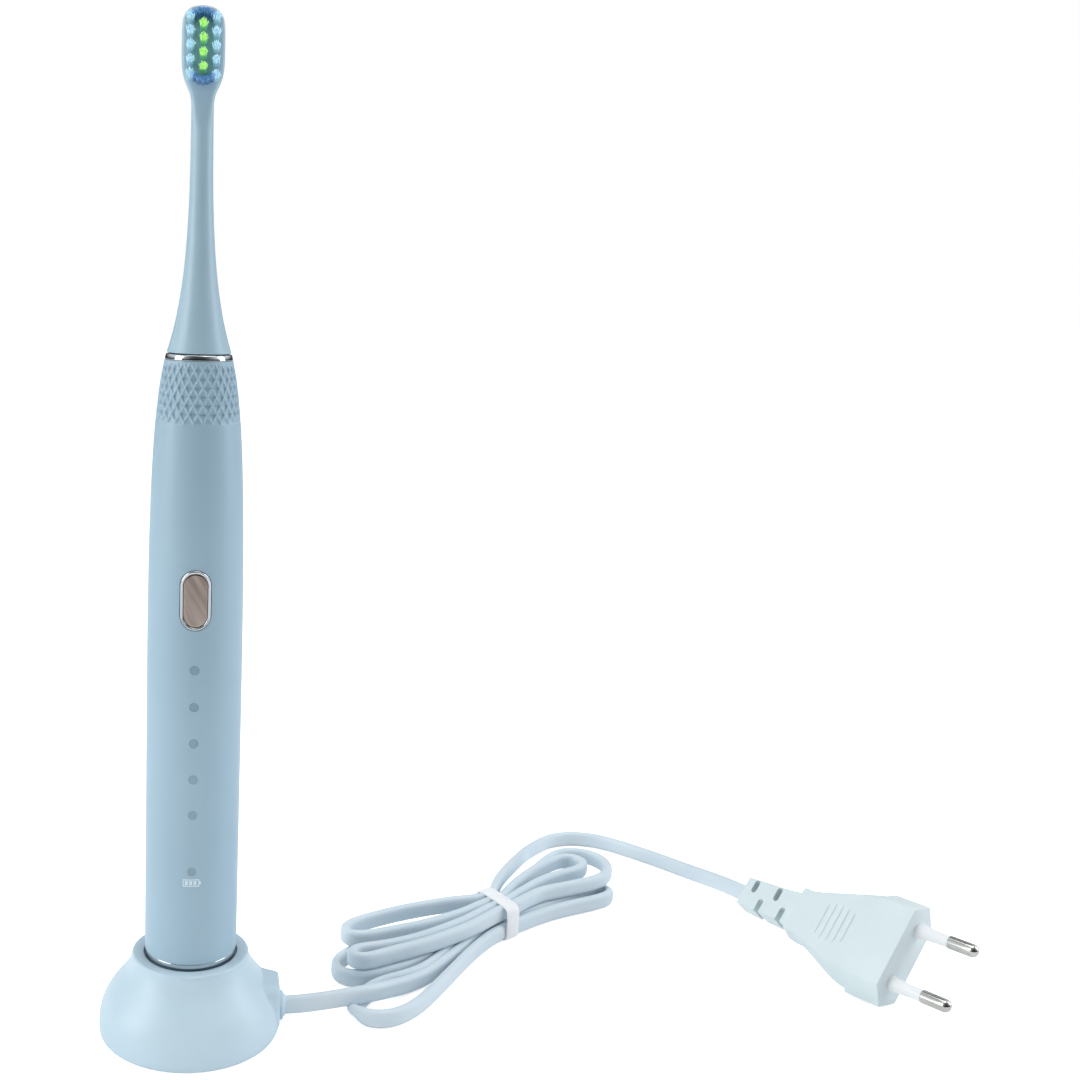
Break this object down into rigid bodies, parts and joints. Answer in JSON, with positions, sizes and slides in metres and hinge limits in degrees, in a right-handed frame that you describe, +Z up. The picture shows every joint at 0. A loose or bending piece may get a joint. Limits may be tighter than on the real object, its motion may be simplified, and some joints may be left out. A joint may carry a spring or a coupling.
{
  "type": "electric toothbrush on charger",
  "caption": "Slim sonic toothbrush with a patterned grip and oval head, standing on a bell-shaped inductive charger with a tied flat mains lead and two-pin plug.",
  "frame": {"origin": "centre of the charger's underside, on the surface that it stands on", "axes": "+Z up along the handle, -Y the side with the button and the bristles, +X the side that the lead leaves"},
  "size_m": [0.257, 0.1516, 0.2754],
  "materials": {
    "charger_plastic": "satin moulded pale blue",
    "plate_plastic": "moulded pale blue, fine spark texture",
    "foot_rubber": "grey elastomer",
    "steel": "zinc-plated steel",
    "ferrite": "sintered ferrite",
    "copper_wire": "enamelled copper winding",
    "circuit_board": "green solder mask",
    "capacitor_sleeve": "shrink sleeve",
    "transformer_tape": "yellow polyester tape",
    "lead_pvc": "pale blue flexible sheath",
    "tie_band": "white plastic band",
    "plug_plastic": "pale moulded plug",
    "pin_sleeve": "white insulating sleeve",
    "nickel": "polished nickel-plated brass",
    "cap_plastic": "dark grey end cap",
    "seal_rubber": "black elastomer seal",
    "bright_trim": "bright plated trim",
    "handle_plastic": "soft satin grey-blue",
    "chassis_plastic": "white moulded frame",
    "cell_wrap": "blue wrapped steel cell",
    "chip_epoxy": "moulded epoxy",
    "led_lens": "clear epoxy lens",
    "light_window": "tinted light guide",
    "button_mirror": "rose-bronze mirror plating",
    "motor_steel": "drawn steel can",
    "bronze_bush": "sintered bronze",
    "magnet": "nickel-plated magnet",
    "head_plastic": "satin grey-blue head",
    "socket_plastic": "natural acetal",
    "bristle_green": "green nylon filament",
    "bristle_white": "white nylon filament",
    "bristle_blue": "blue nylon filament"
  },
  "bodies": {
    "charger": {"charger_shell": "charger_plastic", "charger_base_plate": "plate_plastic", "foot_ring": "foot_rubber", "base_screws": "steel", "charging_post": "charger_plastic", "ferrite_core": "ferrite", "primary_coil": "copper_wire", "charger_board": "circuit_board", "smoothing_capacitor": "capacitor_sleeve", "driver_transformer": "transformer_tape", "cable_gland": "charger_plastic", "lead_in": "lead_pvc", "lead_hank": "lead_pvc", "lead_out": "lead_pvc", "hank_tie": "tie_band", "plug_body": "plug_plastic", "plug_grip_block": "plug_plastic", "plug_strain_relief": "plug_plastic", "pin_sleeves": "pin_sleeve", "plug_pins": "nickel"},
    "handle": {"end_cap": "cap_plastic", "end_cap_oring": "seal_rubber", "end_trim": "bright_trim", "secondary_coil": "copper_wire", "handle_shell": "handle_plastic", "chassis": "chassis_plastic", "battery": "cell_wrap", "battery_tabs": "nickel", "main_board": "circuit_board", "controller_chip": "chip_epoxy", "board_leds": "led_lens", "mode_light_windows": "light_window", "charge_light_window": "light_window", "button_switch": "steel", "button_bezel": "bright_trim", "motor_can": "motor_steel", "motor_bushes": "bronze_bush", "stator_winding": "copper_wire", "motor_damper": "seal_rubber", "nose_cap": "handle_plastic", "shaft_seal": "seal_rubber", "top_collar": "bright_trim"},
    "power_button": {"power_button": "button_mirror"},
    "drive_shaft": {"drive_shaft": "steel", "rotor_magnet": "magnet"},
    "brush_head": {"brush_head_shell": "head_plastic", "shaft_socket": "socket_plastic", "socket_clip": "steel", "bristles_green": "bristle_green", "bristles_white": "bristle_white", "bristles_blue": "bristle_blue"}
  },
  "joints": [
    {"name": "handle_lift", "type": "slide", "parent": "charger", "child": "handle", "axis": [0, 0, 1], "range_m": [0, 0.04]},
    {"name": "button_press", "type": "slide", "parent": "handle", "child": "power_button", "axis": [0, 1, 0], "range_m": [0, 0.0005], "stiffness_N_per_m": 800},
    {"name": "shaft_swing", "type": "hinge", "parent": "handle", "child": "drive_shaft", "pos_m": [0, 0, 0.15], "axis": [0, 0, 1], "range_deg": [-4.5, 4.5], "stiffness_Nm_per_rad": 0.05},
    {"name": "head_pull", "type": "slide", "parent": "drive_shaft", "child": "brush_head", "axis": [0, 0, 1], "range_m": [0, 0.03]}
  ]
}
